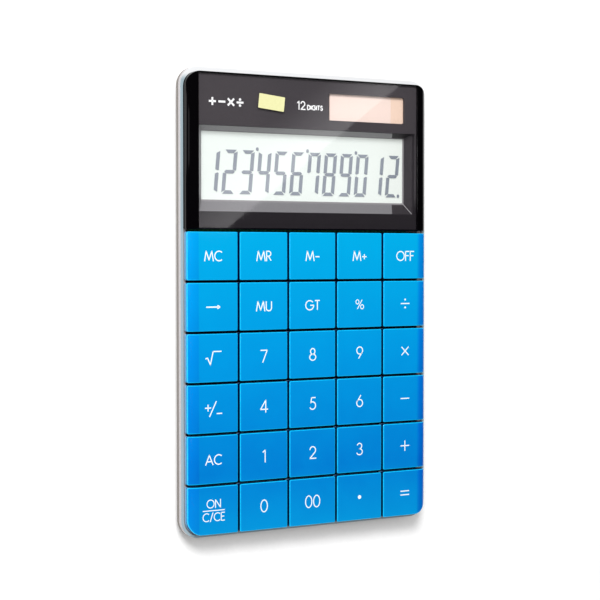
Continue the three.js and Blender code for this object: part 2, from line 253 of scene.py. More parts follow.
def windowRimFinish():
    # polished black, and matt where the glue line runs round its foot
    sheet = Finish("window black")
    dust = sheet.noise(0.3 * mm, 4)
    colour = sheet.mix(sheet.fade(dust, 0.62, 0.8), windowBlack["ink"], windowBlack["dust"])
    wave = sheet.noise(7 * mm, 1)
    roughness = sheet.fade(dust, 0.3, 0.8, *windowBlack["gloss"])
    polished = sheet.node("ShaderNodeBsdfPrincipled", sockets={
        "Base Color": colour, "Roughness": roughness, "IOR": 1.49,
        "Normal": sheet.bump(wave, 0.02 * mm, 0.2)})
    matt = sheet.node("ShaderNodeBsdfDiffuse", sockets={"Color": rgba(windowBlack["matt"])})
    foot = sheet.fade(sheet.axis("Z") - windowLow.z, *windowBlack["foot"])
    return sheet.show(sheet.node("ShaderNodeMixShader", sockets={0: foot, 1: matt, 2: polished}))


def paneFinish():
    # clear acrylic: it shows what lies under it, and a thin reflection over that
    sheet = Finish("clear pane")
    smear = sheet.noise(14 * mm, 3)
    gloss = sheet.node("ShaderNodeBsdfGlossy", sockets={
        "Color": (1, 1, 1, 1), "Roughness": sheet.fade(smear, 0.3, 0.7, 0.01, 0.04)})
    clear = sheet.node("ShaderNodeBsdfTransparent", sockets={"Color": (0.985, 0.985, 0.985, 1)})
    facing = sheet.node("ShaderNodeLayerWeight", sockets={"Blend": 0.5}, out="Facing")
    # the mirrored share, the same from either side of a face
    share = sheet.node("ShaderNodeMath", {"operation": "POWER"}, {0: facing, 1: 5.0}) * 0.96 + 0.04
    mixed = sheet.node("ShaderNodeMixShader", sockets={0: share, 1: clear, 2: gloss})
    return sheet.show(mixed)


maskGrey = dict(
    upper=(0.056, 0.049, 0.056), cloud=(0.063, 0.055, 0.062), front=(0.021, 0.018, 0.022),
    turn=(7 * mm, 15 * mm),
)


def maskFinish():
    # the strip in front of the display is the darkest
    sheet = Finish("window print")
    grain = sheet.noise(0.3 * mm, 3)
    broad = sheet.noise(30 * mm, 1)
    upper = sheet.mottle(broad, maskGrey["upper"], maskGrey["cloud"])
    band = sheet.fade(sheet.axis("Y") - windowLow.y, *maskGrey["turn"])
    colour = sheet.mix(band, maskGrey["front"], upper)
    mottled = sheet.mottle(grain, colour, (0.0, 0.0, 0.0), 0.12)
    return sheet.surface(mottled, 0.6, Normal=sheet.bump(grain, 0.005 * mm, 0.3))


lcdPaint = dict(
    left=(0.72, 0.765, 0.735), right=(0.70, 0.735, 0.70), pearl=(0.64, 0.69, 0.66),
    turn=(20 * mm, 44 * mm), paintedGlow=0.22,
)


def lcdFinish():
    sheet = Finish("lcd panel")
    # painted shade: the panel turns greyer towards its right end
    across = sheet.fade(sheet.axis("X"), *lcdPaint["turn"])
    colour = sheet.mix(across, lcdPaint["left"], lcdPaint["right"])
    grain = sheet.noise(0.15 * mm, 2)
    pearly = sheet.mottle(grain, colour, lcdPaint["pearl"], 0.4)
    # painted light: the panel glows a little in its own colour
    return sheet.surface(pearly, 0.35, Normal=sheet.bump(grain, 0.004 * mm, 0.2),
                         Emission_Color=pearly, Emission_Strength=lcdPaint["paintedGlow"])


segmentPaint = dict(
    left=(0.27, 0.295, 0.345), right=(0.185, 0.21, 0.255), pale=(0.36, 0.39, 0.44),
    turn=(30 * mm, 39 * mm),
)


def segmentFinish():
    sheet = Finish("lcd segment")
    # painted shade: the bars turn darker towards the right end
    across = sheet.fade(sheet.axis("X"), *segmentPaint["turn"])
    colour = sheet.mix(across, segmentPaint["left"], segmentPaint["right"])
    grain = sheet.noise(0.4 * mm, 2)
    varied = sheet.mottle(grain, colour, segmentPaint["pale"], 0.6)
    return sheet.surface(varied, 0.4)


# the funnel's right end lies in the shade of the window's edge, behind a plane that leans over it
bezelShade = dict(
    lean=0.577, start=42.45 * mm, end=42.75 * mm, lip=0.6 * mm,
    throat=(43.3 * mm, 37.2 * mm), slope=1.79, line=0.28 * mm,
)


def bezelFinish():
    shade = bezelShade
    sheet = Finish("bezel grey")
    x, y, z = [sheet.axis(letter) for letter in "XYZ"]
    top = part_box("display_frame")[1].z
    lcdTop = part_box("lcd_glass")[1].z
    # painted shade: the plate's top face, under the printed mask, is coloured near black
    under = sheet.fade(z, top - 0.06 * mm, top - 0.02 * mm)
    grain = sheet.noise(0.2 * mm, 4)
    satin = sheet.mottle(grain, (0.33, 0.32, 0.335), (0.38, 0.37, 0.385))
    # darker along the front wall of the funnel
    front = sheet.fade(y, shade["throat"][1], shade["throat"][1] + 2 * mm, 1, 0)
    frontDarkened = sheet.mix(front, satin, (0.55, 0.55, 0.56), "MULTIPLY")
    behind = sheet.fade(x + z * shade["lean"], shade["start"], shade["end"])
    shaded = sheet.mix(behind, frontDarkened, (0.040, 0.035, 0.040))
    lip = sheet.fade(z, lcdTop + shade["lip"], lcdTop + shade["lip"] + 0.3 * mm, 1, 0)
    lipped = sheet.mix(lip, shaded, (0.26, 0.25, 0.26))
    # light on the mitre at the funnel's front right corner
    throatX, throatY = shade["throat"]
    offMitre = abs((x - throatX) * shade["slope"] - (throatY - y))
    mitre = (offMitre < shade["line"]) * (y < throatY) * (x > throatX)
    lined = sheet.mix(mitre, lipped, (0.30, 0.29, 0.30))
    colour = sheet.mix(under, lined, (0.034, 0.030, 0.035))
    return sheet.surface(colour, 0.55, Normal=sheet.bump(grain, 0.006 * mm, 0.4))


solarLook = dict(
    cell=(0.88, 0.71, 0.64), strip=(0.84, 0.625, 0.50), line=(0.78, 0.60, 0.52),
    pitch=8.4 * mm, stripWidth=7.2 * mm, lineWidth=0.06 * mm,
)


def solarFinish():
    sheet = Finish("solar coating")
    low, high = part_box("solar_cell")
    x = sheet.axis("X")
    end = x > high.x - solarLook["stripWidth"]
    base = sheet.mix(end, solarLook["cell"], solarLook["strip"])
    column = sheet.pingPong(x - low.x, solarLook["pitch"] / 2)
    lines = column < solarLook["lineWidth"]
    lined = sheet.mix(lines * 0.55, base, solarLook["line"])
    # painted glints: lighter specks scattered over the coating
    sparkle = sheet.noise(0.25 * mm, 4)
    colour = sheet.mix(sheet.fade(sparkle, 0.45, 0.8, 0, 0.35), lined, (0.92, 0.76, 0.70))
    return sheet.surface(colour, 0.22, IOR=1.5, Normal=sheet.bump(sparkle, 0.004 * mm, 0.3))


def stickerFinish():
    sheet = Finish("yellow sticker")
    fibre = sheet.noise(0.5 * mm, 5, (1, 3, 1))
    colour = sheet.mottle(fibre, (0.70, 0.69, 0.38), (0.65, 0.635, 0.32))
    return sheet.surface(colour, 0.55, Normal=sheet.bump(fibre, 0.01 * mm, 0.5))


framePaint = dict(
    wall=(0.465, 0.445, 0.455), wallCloud=(0.430, 0.410, 0.420), paintedLedge=(0.29, 0.37, 0.41),
    litDisplayLedge=(0.70, 0.71, 0.72), ledgeDepth=(-0.25 * mm, -0.08 * mm), displayEnd=(-5 * mm, -2.2 * mm),
)


def frameFinish():
    # pearl plastic; the ledge beside the keys is painted darker and bluer for their shade and the blue
    # light they throw on it, and painted lighter at the display end
    sheet = Finish("pearl frame")
    paintedLedge = sheet.fade(sheet.axis("Z") - frameHigh.z, *framePaint["ledgeDepth"])
    wallColour = sheet.mottle(sheet.noise(2 * mm, 3), framePaint["wall"], framePaint["wallCloud"])
    display = sheet.fade(sheet.axis("Y") - frameHigh.y, *framePaint["displayEnd"])
    # painted light and shade on the ledge: dark blue beside the keys, light at the display end
    ledgeColour = sheet.mix(display, framePaint["paintedLedge"], framePaint["litDisplayLedge"])
    colour = sheet.mix(paintedLedge, wallColour, ledgeColour)
    flake = sheet.noise(0.12 * mm, 3)
    roughness = sheet.fade(flake, 0.3, 0.7, 0.22, 0.34)
    return sheet.surface(colour, roughness, Normal=sheet.bump(flake, 0.004 * mm, 0.4))


shellPaint = dict(
    grey=(0.190, 0.171, 0.156), cloud=(0.199, 0.180, 0.163), speck=(0.160, 0.143, 0.129),
    pebble=0.45 * mm, pebbleDepth=0.03 * mm,
)


def shellFinish():
    # spark-eroded texture of a moulded back
    sheet = Finish("shell grey")
    pebble = sheet.noise(shellPaint["pebble"], 4)
    colour = sheet.mottle(sheet.noise(25 * mm, 2), shellPaint["grey"], shellPaint["cloud"])
    speckled = sheet.mix(sheet.fade(pebble, 0.5, 0.75, 0, 0.3), colour, shellPaint["speck"])
    roughness = sheet.fade(pebble, 0.3, 0.7, 0.42, 0.58)
    bumps = sheet.bump(pebble, shellPaint["pebbleDepth"], 0.7)
    return sheet.surface(speckled, roughness, Normal=bumps)


def plainFinish(name, colour, roughness, size, depth, spread=0.8, **others):
    # a moulded or painted finish whose grain has one size and one depth
    sheet = Finish(name)
    grain = sheet.noise(size, 4)
    varied = sheet.mottle(grain, colour, dim(colour, spread))
    worn = sheet.fade(grain, 0.3, 0.8, roughness - 0.06, roughness + 0.08)
    return sheet.surface(varied, worn, Normal=sheet.bump(grain, depth, 0.6), **others)


def metalFinish(name, colour, roughness):
    sheet = Finish(name)
    brushed = sheet.noise(0.15 * mm, 3, (1, 12, 1))
    varied = sheet.mottle(brushed, colour, dim(colour, 0.75))
    worn = sheet.fade(brushed, 0.3, 0.8, roughness - 0.05, roughness + 0.12)
    return sheet.surface(varied, worn, Metallic=1.0, Normal=sheet.bump(brushed, 0.006 * mm, 0.4))


def boardFinish():
    # green resist over copper tracks that run along the board
    sheet = Finish("circuit board")
    wander = sheet.noise(8 * mm, 2)
    x = sheet.axis("X") + (wander - 0.5) * (3 * mm)
    column = sheet.pingPong(x + 0.1, 0.9 * mm)
    track = sheet.fade(column, 0.35 * mm, 0.42 * mm, 1, 0)
    weave = sheet.noise(0.4 * mm, 3)
    resist = sheet.mottle(weave, (0.018, 0.105, 0.040), (0.022, 0.130, 0.050))
    colour = sheet.mix(track * 0.7, resist, (0.045, 0.23, 0.075))
    return sheet.surface(colour, 0.32, Normal=sheet.bump(track, 0.03 * mm, 0.6))


def stripedRubberFinish():
    # conducting and insulating layers of the contact strip
    sheet = Finish("contact strip")
    column = sheet.pingPong(sheet.axis("X") + 0.1, 0.12 * mm)
    stripe = sheet.fade(column, 0.05 * mm, 0.07 * mm)
    colour = sheet.mix(stripe, (0.012, 0.012, 0.014), (0.30, 0.27, 0.22))
    return sheet.surface(colour, 0.7, Normal=sheet.bump(stripe, 0.01 * mm, 0.4))


finishes = dict(
    keyFace=keyFaceFinish(), keyRimHighlight=keyRimFinish(), keySide=keySideFinish(),
    legend=inkFinish("legend ink", (0.80, 0.86, 0.88)),
    windowInk=inkFinish("window ink", (0.96, 0.96, 0.97)),
    windowRim=windowRimFinish(), pane=paneFinish(), mask=maskFinish(),
    lcd=lcdFinish(), segment=segmentFinish(), bezel=bezelFinish(), solar=solarFinish(),
    sticker=stickerFinish(), frame=frameFinish(), shell=shellFinish(),
    deck=plainFinish("deck black", (0.0010, 0.0014, 0.016), 0.7, 0.4 * mm, 0.01 * mm),
    mat=plainFinish("silicone mat", (0.45, 0.46, 0.44), 0.6, 1.2 * mm, 0.02 * mm, 0.9),
    board=boardFinish(),
    epoxy=plainFinish("epoxy drop", (0.006, 0.006, 0.007), 0.3, 1.5 * mm, 0.04 * mm),
    sleeve=plainFinish("capacitor sleeve", (0.012, 0.025, 0.12), 0.35, 0.8 * mm, 0.02 * mm),
    reflector=plainFinish("reflector film", (0.62, 0.66, 0.63), 0.3, 0.2 * mm, 0.006 * mm, 0.92,
                          Metallic=0.4),
    strip=stripedRubberFinish(),
    redWire=plainFinish("red wire", (0.42, 0.018, 0.012), 0.4, 0.5 * mm, 0.01 * mm),
    blackWire=plainFinish("black wire", (0.010, 0.010, 0.011), 0.4, 0.5 * mm, 0.01 * mm),
    cell=metalFinish("cell steel", (0.60, 0.60, 0.61), 0.25),
    contact=metalFinish("spring contact", (0.62, 0.56, 0.40), 0.28),
    screw=metalFinish("screw steel", (0.42, 0.42, 0.43), 0.3),
    foot=plainFinish("rubber foot", (0.028, 0.027, 0.026), 0.8, 0.35 * mm, 0.03 * mm, 0.7),
)
print("finishes made:", len(finishes))


def addBlock(bm, low, high):
    low, high = Vector(low), Vector(high)
    verts = bmesh.ops.create_cube(bm, size=1)["verts"]
    bmesh.ops.scale(bm, vec=high - low, verts=verts)
    bmesh.ops.translate(bm, vec=(low + high) / 2, verts=verts)
    return verts


def addUpright(bm, centre, half, bottom, top):
    # block round an upright axis; half is its half width and half length
    low = (centre.x - half[0], centre.y - half[1], bottom)
    high = (centre.x + half[0], centre.y + half[1], top)
    return addBlock(bm, low, high)


def nodeCentre(node):
    low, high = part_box(node)
    return (low + high) / 2


def roundEdges(bm, edges, radius, segments):
    bmesh.ops.bevel(bm, geom=edges, offset=radius, offset_type="OFFSET", segments=segments,
                    profile=0.5, affect="EDGES", material=-1)


def edgesOf(verts):
    return list({edge for vert in verts for edge in vert.link_edges})


def upright(edge):
    first, second = [vert.co for vert in edge.verts]
    return (first.xy - second.xy).length < sameSpot


def roundUprights(bm, radius, segments):
    roundEdges(bm, [edge for edge in bm.edges if upright(edge)], radius, segments)


def sliceAt(bm, point, normal):
    geom = bm.verts[:] + bm.edges[:] + bm.faces[:]
    bmesh.ops.bisect_plane(bm, geom=geom, plane_co=point, plane_no=normal)


def roundedBlock(low, high, corners, segments=12):
    # upright block; the corners run left-front, right-front, right-rear, left-rear
    bm = bmesh.new()
    addBlock(bm, low, high)
    places = [(low[0], low[1]), (high[0], low[1]), (high[0], high[1]), (low[0], high[1])]
    for place, radius in zip(places, corners):
        edges = [e for e in bm.edges if upright(e) and (e.verts[0].co.xy - Vector(place)).length < 1e-6]
        roundEdges(bm, edges, radius, segments if radius > 1 * mm else 3)
    return bm


def topFace(bm):
    # of the faces that look up, the largest
    return max(bm.faces, key=lambda face: (face.normal.z, face.calc_area()))


def carve(mesh, tools):
    # takes the tools' shapes out of the mesh
    for tool in tools:
        target = bpy.data.objects.new("target", mesh)
        cutter = bpy.data.objects.new("cutter", tool)
        for each in (target, cutter):
            scene.collection.objects.link(each)
        cut = target.modifiers.new("cut", "BOOLEAN")
        cut.object = cutter
        cut.solver = "EXACT"
        graph = bpy.context.evaluated_depsgraph_get()
        mesh = bpy.data.meshes.new_from_object(target.evaluated_get(graph))
        for each in (target, cutter):
            bpy.data.objects.remove(each)
    return mesh


def asMesh(bm):
    bmesh.ops.remove_doubles(bm, verts=bm.verts, dist=sameSpot)
    bmesh.ops.recalc_face_normals(bm, faces=bm.faces)
    mesh = bpy.data.meshes.new("shape")
    bm.to_mesh(mesh)
    bm.free()
    return mesh


def addPiece(name, mesh, looks, body, nodes=(), sharp=35):
    mesh.name = name
    mesh.shade_smooth()
    mesh.set_sharp_from_angle(angle=math.radians(sharp))
    for face in mesh.polygons:
        # a level face mirrors like a flat sheet, whatever is rounded beside it
        face.use_smooth = abs(face.normal.z) < 0.9999
    piece = bpy.data.objects.new(name, mesh)
    scene.collection.objects.link(piece)
    if len(mesh.materials) == 0:
        for look in looks:
            mesh.materials.append(finishes[look])
    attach(piece, body)
    if nodes:
        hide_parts(*nodes)
    return piece


def rollDrop(x, roll):
    # how far a rolled long edge has fallen at x
    share = min(max((abs(x) - roll["shoulder"]) / roll["width"], 0), 1)
    return roll["depth"] * (1 - math.sqrt(1 - share * share))


def rollOver(bm, roll, side, above):
    for step in range(roll["steps"]):
        x = roll["shoulder"] + roll["width"] * math.sin(math.pi / 2 * step / roll["steps"])
        sliceAt(bm, (side * x, 0, 0), (1, 0, 0))
    for vert in bm.verts:
        if vert.co.z > above and vert.co.x * side > 0:
            vert.co.z -= rollDrop(vert.co.x, roll)


keyShape = dict(
    corner=0.5 * mm, rim=0.3 * mm, grooveTop=capDepth, grooveHeight=0.26 * mm, grooveDepth=0.12 * mm,
    grooveEdge=0.03 * mm, wallBottom=deckHigh.z + 1.15 * mm, plunger=4.0 * mm, flange=4.7 * mm,
    flangeHeight=0.35 * mm,
)
keyRoll = dict(shoulder=46.9 * mm, width=4.2 * mm, depth=1.95 * mm, steps=9)
lastRow = len(keyNames) - 1
lastColumn = len(keyNames[0]) - 1


def makeKey(name, row, column):
    low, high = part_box("key_" + name)
    side = {0: -1, lastColumn: 1}.get(column, 0)
    corners = [keyShape["corner"]] * 4
    if side and row == lastRow:
        corners[0 if side < 0 else 1] = faceCorner
    bm = roundedBlock((low.x, low.y, keyShape["wallBottom"]), high, corners)
    grooveTop = high.z - keyShape["grooveTop"]
    grooveBottom = grooveTop - keyShape["grooveHeight"]
    sliceAt(bm, (0, 0, grooveTop), (0, 0, 1))
    sliceAt(bm, (0, 0, grooveBottom), (0, 0, 1))
    belt = [f for f in bm.faces if grooveBottom < f.calc_center_median().z < grooveTop]
    bmesh.ops.inset_region(bm, faces=belt, thickness=keyShape["grooveEdge"],
                           depth=-keyShape["grooveDepth"], use_boundary=True, use_even_offset=True)
    roundEdges(bm, list(topFace(bm).edges), keyShape["rim"], 3)
    bm.normal_update()
    for face in bm.faces:
        level = face.normal.z > 0.97
        chamfered = 0.15 < face.normal.z and face.calc_center_median().z > grooveTop
        face.material_index = 0 if level else 1 if chamfered else 2
    if side:
        rollOver(bm, keyRoll, side, grooveTop + 1e-6)
    middle = (low + high) / 2
    plungerHalf, flangeHalf = [keyShape["plunger"]] * 2, [keyShape["flange"]] * 2
    plunger = addUpright(bm, middle, plungerHalf, low.z, keyShape["wallBottom"] + 0.1 * mm)
    flange = addUpright(bm, middle, flangeHalf, low.z, low.z + keyShape["flangeHeight"])
    for vert in plunger + flange:
        for face in vert.link_faces:
            face.material_index = 2
    node = "key_" + name
    addPiece("cap_" + name, asMesh(bm), ["keyFace", "keyRimHighlight", "keySide"], node, [node], 50)


for row, names in enumerate(keyNames):
    for column, name in enumerate(names):
        makeKey(name, row, column)
print("keys made")


# lettering is drawn as strokes on a square one cap height tall
def arc(centreX, centreY, radiusX, radiusY, start, end, steps=18):
    turns = [math.radians(start + (end - start) * step / steps) for step in range(steps + 1)]
    return [(centreX + radiusX * math.cos(turn), centreY + radiusY * math.sin(turn)) for turn in turns]


def ellipse(centreX, centreY, radiusX, radiusY):
    return arc(centreX, centreY, radiusX, radiusY, 0, 360, 28)


def dot(x, y, radius=0.045):
    return ellipse(x, y, radius, radius)


# each letter: its width and its strokes
letters = {
    "M": (1.0, [[(0, 0), (0.17, 1), (0.5, 0.08), (0.83, 1), (1, 0)]]),
    "C": (0.84, [arc(0.5, 0.5, 0.5, 0.5, 48, 312)]),
    "G": (0.98, [arc(0.5, 0.5, 0.5, 0.5, 46, 360) + [(0.62, 0.5)]]),
    "O": (1.0, [ellipse(0.5, 0.5, 0.5, 0.5)]),
    "R": (0.54, [[(0, 0), (0, 1), (0.24, 1)] + arc(0.24, 0.74, 0.27, 0.26, 90, -90) + [(0, 0.48)],
                 [(0.22, 0.48), (0.54, 0)]]),
    "U": (0.64, [[(0, 1)] + arc(0.32, 0.32, 0.32, 0.32, 180, 360) + [(0.64, 1)]]),
    "F": (0.46, [[(0.46, 1), (0, 1), (0, 0)], [(0, 0.53), (0.42, 0.53)]]),
    "T": (0.6, [[(0, 1), (0.6, 1)], [(0.3, 1), (0.3, 0)]]),
    "A": (0.84, [[(0, 0), (0.42, 1), (0.84, 0)], [(0.15, 0.33), (0.69, 0.33)]]),
    "N": (0.7, [[(0, 0), (0, 1), (0.7, 0), (0.7, 1)]]),
    "E": (0.46, [[(0.46, 1), (0, 1), (0, 0), (0.46, 0)], [(0, 0.52), (0.42, 0.52)]]),
    "D": (0.72, [[(0, 0), (0, 1), (0.22, 1)] + arc(0.22, 0.5, 0.5, 0.5, 90, -90) + [(0, 0)]]),
    "I": (0.0, [[(0, 0), (0, 1)]]),
    "S": (0.5, [arc(0.26, 0.75, 0.22, 0.25, 40, 270) + arc(0.24, 0.26, 0.25, 0.25, 90, -140)]),
    "0": (0.62, [ellipse(0.31, 0.5, 0.31, 0.5)]),
    "1": (0.2, [[(0, 0.84), (0.2, 1), (0.2, 0)]]),
    "2": (0.6, [arc(0.3, 0.7, 0.28, 0.3, 168, -36) + [(0.02, 0), (0.62, 0)]]),
    "3": (0.56, [arc(0.27, 0.76, 0.23, 0.24, 155, -90) + arc(0.27, 0.26, 0.29, 0.26, 90, -155)]),
    "4": (0.68, [[(0.5, 0), (0.5, 1), (0, 0.24), (0.68, 0.24)]]),
    "5": (0.58, [[(0.54, 1), (0.18, 1), (0.1, 0.56)] + arc(0.27, 0.32, 0.3, 0.32, 115, -145)]),
    "6": (0.6, [ellipse(0.3, 0.31, 0.3, 0.31), [(0.05, 0.46), (0.42, 1)]]),
    "7": (0.6, [[(0, 1), (0.6, 1), (0.18, 0)]]),
    "8": (0.6, [ellipse(0.3, 0.76, 0.22, 0.24), ellipse(0.3, 0.26, 0.3, 0.26)]),
    "9": (0.6, [ellipse(0.3, 0.69, 0.3, 0.31), [(0.55, 0.54), (0.18, 0)]]),
    "%": (1.0, [ellipse(0.2, 0.77, 0.2, 0.23), ellipse(0.8, 0.23, 0.2, 0.23), [(0.2, 0), (0.8, 1)]]),
    "/": (0.4, [[(0, -0.1), (0.4, 1.08)]]),
    "-": (0.5, [[(0, 0.42), (0.5, 0.42)]]),
    "p": (0.56, [[(0, 0.42), (0.56, 0.42)], [(0.28, 0.14), (0.28, 0.70)]]),
    "+": (1.0, [[(0, 0.5), (1, 0.5)], [(0.5, 0), (0.5, 1)]]),
    "m": (1.0, [[(0, 0.5), (1, 0.5)]]),
    "x": (0.9, [[(0, 0.05), (0.9, 0.95)], [(0, 0.95), (0.9, 0.05)]]),
    "d": (1.0, [[(0, 0.5), (1, 0.5)], dot(0.5, 0.88), dot(0.5, 0.12)]),
    "=": (1.0, [[(0, 0.68), (1, 0.68)], [(0, 0.32), (1, 0.32)]]),
    "r": (1.3, [[(0, 0.46), (0.14, 0.52), (0.38, 0), (0.62, 1), (1.3, 1)]]),
    ">": (1.66, [[(0, 0.5), (1.5, 0.5)], [(1.6, 0.5), (1.3, 0.66)], [(1.6, 0.5), (1.3, 0.34)],
                 [(1.32, 0.6), (1.32, 0.4)], [(1.42, 0.56), (1.42, 0.44)]]),
    "s": (1.3, [[(0, 0.58), (0.46, 0.58)], [(0.23, 0.35), (0.23, 0.81)], [(0.34, -0.02), (0.86, 1.02)],
                [(0.88, 0.18), (1.3, 0.18)]]),
    ".": (0.1, [dot(0.05, 0.5, 0.05)]),
    " ": (0.3, []),
}


def layLine(text, height, centre, spacing=0.17):
    # strokes of one line of text, centred on a point
    widths = [letters[letter][0] for letter in text]
    x = -(sum(widths) + spacing * (len(text) - 1)) / 2
    strokes = []
    for letter, width in zip(text, widths):
        for stroke in letters[letter][1]:
            strokes.append([(centre[0] + (x + px) * height, centre[1] + (py - 0.5) * height)
                            for px, py in stroke])
        x += width + spacing
    return strokes


def splitAtCorners(stroke, sharpest=50):
    # a stroke is cut where it turns sharply, so that no corner is pinched
    points = [stroke[0]]
    for point in stroke[1:]:
        if math.dist(point, points[-1]) > sameSpot:
            points.append(point)
    parts = [[points[0]]]
    for before, here, after in zip(points, points[1:], points[2:]):
        parts[-1].append(here)
        first = math.atan2(here[1] - before[1], here[0] - before[0])
        second = math.atan2(after[1] - here[1], after[0] - here[0])
        if abs(math.remainder(second - first, 2 * math.pi)) > math.radians(sharpest):
            parts.append([here])
    parts[-1].append(points[-1])
    return parts


def lengthened(points, reach):
    # both ends carried on by half a stroke, which fills the corners
    ends = []
    for end, nearby in ((points[0], points[1]), (points[-1], points[-2])):
        share = 1 + reach / math.dist(end, nearby)
        ends.append((nearby[0] + (end[0] - nearby[0]) * share, nearby[1] + (end[1] - nearby[1]) * share))
    return [ends[0]] + points[1:-1] + [ends[1]]


def strokesMesh(strokes, width, bottom, thickness):
    curve = bpy.data.curves.new("strokes", "CURVE")
    curve.dimensions = "3D"
    curve.bevel_depth = width / 2
    curve.bevel_resolution = 1
    curve.use_fill_caps = True
    for stroke in strokes:
        parts = splitAtCorners(stroke)
        closed = len(parts) == 1 and math.dist(stroke[0], stroke[-1]) < sameSpot
        for part in parts:
            points = part
            if closed:
                points = part[:-1]
            elif len(parts) > 1:
                points = lengthened(part, width * 0.4)
            spline = curve.splines.new("POLY")
            spline.points.add(len(points) - 1)
            for point, (x, y) in zip(spline.points, points):
                point.co = (x, y, 0, 1)
            spline.use_cyclic_u = closed
    holder = bpy.data.objects.new("strokes", curve)
    bm = bmesh.new()
    bm.from_mesh(bpy.data.meshes.new_from_object(holder))
    bpy.data.objects.remove(holder)
    bmesh.ops.scale(bm, vec=(1, 1, thickness / width), verts=bm.verts)
    bmesh.ops.translate(bm, vec=(0, 0, bottom + thickness / 2), verts=bm.verts)
    return asMesh(bm)


legendSize = dict(
    letter=3.45 * mm, digit=4.35 * mm, sign=4.0 * mm, small=2.85 * mm, cross=3.6 * mm, root=4.7 * mm,
    change=5.3 * mm, point=5.6 * mm, stroke=0.40 * mm, thin=0.33 * mm, thick=0.02 * mm,
)
# the two lines of the clear key, and the bar between them
clearLegend = dict(upper=2.45 * mm, lower=-2.35 * mm, barHalf=4.4 * mm)
# how much broader or finer than the rest a few legends are drawn
legendWeight = dict(point=2.3, percent=0.8, backspace=1.15)
# what stands on each key: the text, and the size it is set in
legends = {
    "mc": ("MC", "letter"), "mr": ("MR", "letter"), "m_minus": ("M-", "letter"), "m_plus": ("Mp", "letter"),
    "off": ("OFF", "letter"), "backspace": (">", "letter"), "mu": ("MU", "letter"), "gt": ("GT", "letter"),
    "percent": ("%", "letter"), "divide": ("d", "sign"), "root": ("r", "root"), "multiply": ("x", "cross"),
    "sign": ("s", "change"), "minus": ("m", "sign"), "ac": ("AC", "letter"), "plus": ("+", "sign"),
    "point": (".", "point"), "equals": ("=", "sign"), "00": ("00", "digit"),
}


def makeLegend(name):
    low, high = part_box("key_" + name)
    x, y = (low.x + high.x) / 2, (low.y + high.y) / 2
    if name == "on_clear":
        size, width, barHalf = legendSize["small"], legendSize["thin"], clearLegend["barHalf"]
        strokes = layLine("ON", size, (x, y + clearLegend["upper"]), 0.2)
        strokes += layLine("C/CE", size, (x, y + clearLegend["lower"]), 0.16)
        strokes.append([(x - barHalf, y), (x + barHalf, y)])
    else:
        text, size = legends.get(name, (name, "digit"))
        width = legendSize["stroke"] * legendWeight.get(name, 1.0)
        strokes = layLine(text, legendSize[size], (x, y))
    mesh = strokesMesh(strokes, width, high.z, legendSize["thick"])
    addPiece("legend_" + name, mesh, ["legend"], "key_" + name)


for names in keyNames:
    for name in names:
        makeLegend(name)
print("legends made")


windowRoll = dict(shoulder=46.9 * mm, width=4.6 * mm, depth=2.75 * mm, steps=12)
window = dict(bar=0.5 * mm, pane=1.0 * mm, maskTop=1.05 * mm, maskBottom=1.98 * mm, rim=0.25 * mm)
paneLeft, paneRight = -windowRoll["shoulder"], windowRoll["shoulder"]
paneFront, paneRear = windowLow.y + window["bar"], windowHigh.y - window["bar"]
mouth = dict(left=-46.4 * mm, right=46.4 * mm, front=32.7 * mm, rear=63.75 * mm, corner=0.3 * mm)
sunGap = dict(left=7.35 * mm, right=41.35 * mm, front=67.4 * mm, rear=77.4 * mm, corner=0.9 * mm)


def makeWindowRim():
    # black block with rolled long edges, open in the middle for the pane
    bm = roundedBlock(windowLow, windowHigh, [0.4 * mm, 0.4 * mm, faceCorner, faceCorner])
    roundEdges(bm, list(topFace(bm).edges), window["rim"], 3)
    for side in (-1, 1):
        rollOver(bm, windowRoll, side, faceTop - 0.5 * mm)
    tool = bmesh.new()
    addBlock(tool, (paneLeft, paneFront, windowLow.z - 1 * mm), (paneRight, paneRear, faceTop + 1 * mm))
    rim = carve(asMesh(bm), [asMesh(tool)])
    addPiece("window_rim", rim, ["windowRim"], "case", ["display_window"], 30)


def makePane():
    bm = bmesh.new()
    clear = 0.02 * mm
    addBlock(bm, (paneLeft + clear, paneFront + clear, faceTop - window["pane"]),
             (paneRight - clear, paneRear - clear, faceTop))
    roundEdges(bm, bm.edges[:], 0.06 * mm, 2)
    addPiece("window_pane", asMesh(bm), ["pane"], "case")


def makeWindowMask():
    # printed carrier under the pane, with a mouth for the display and one for the solar cell
    bm = bmesh.new()
    edge = 0.03 * mm
    addBlock(bm, (paneLeft + edge, paneFront + edge, faceTop - window["maskBottom"]),
             (paneRight - edge, paneRear - edge, faceTop - window["maskTop"]))
    tools = []
    for gap in (mouth, sunGap):
        tool = bmesh.new()
        addBlock(tool, (gap["left"], gap["front"], faceTop - 4 * mm), (gap["right"], gap["rear"], faceTop))
        roundUprights(tool, gap["corner"], 6)
        tools.append(asMesh(tool))
    addPiece("window_mask", carve(asMesh(bm), tools), ["mask"], "case", (), 30)


# each line of print: its text, cap height, middle and spacing
operatorMark = dict(line=("+mxd", 2.8 * mm, (-35.4 * mm, 72.15 * mm), 0.36), stroke=0.72 * mm)
digitsNote = dict(
    count=("12", 2.85 * mm, (-4.3 * mm, 72.37 * mm), 0.28),
    unit=("DIGITS", 1.55 * mm, (1.55 * mm, 71.73 * mm), 0.27), stroke=0.44 * mm,
)


def makeWindowPrint():
    level, thick = faceTop - window["maskTop"], 0.02 * mm
    mark = strokesMesh(layLine(*operatorMark["line"]), operatorMark["stroke"], level, thick)
    addPiece("operator_mark", mark, ["windowInk"], "case")
    strokes = layLine(*digitsNote["count"]) + layLine(*digitsNote["unit"])
    note = strokesMesh(strokes, digitsNote["stroke"], level, thick)
    addPiece("digits_note", note, ["windowInk"], "case")


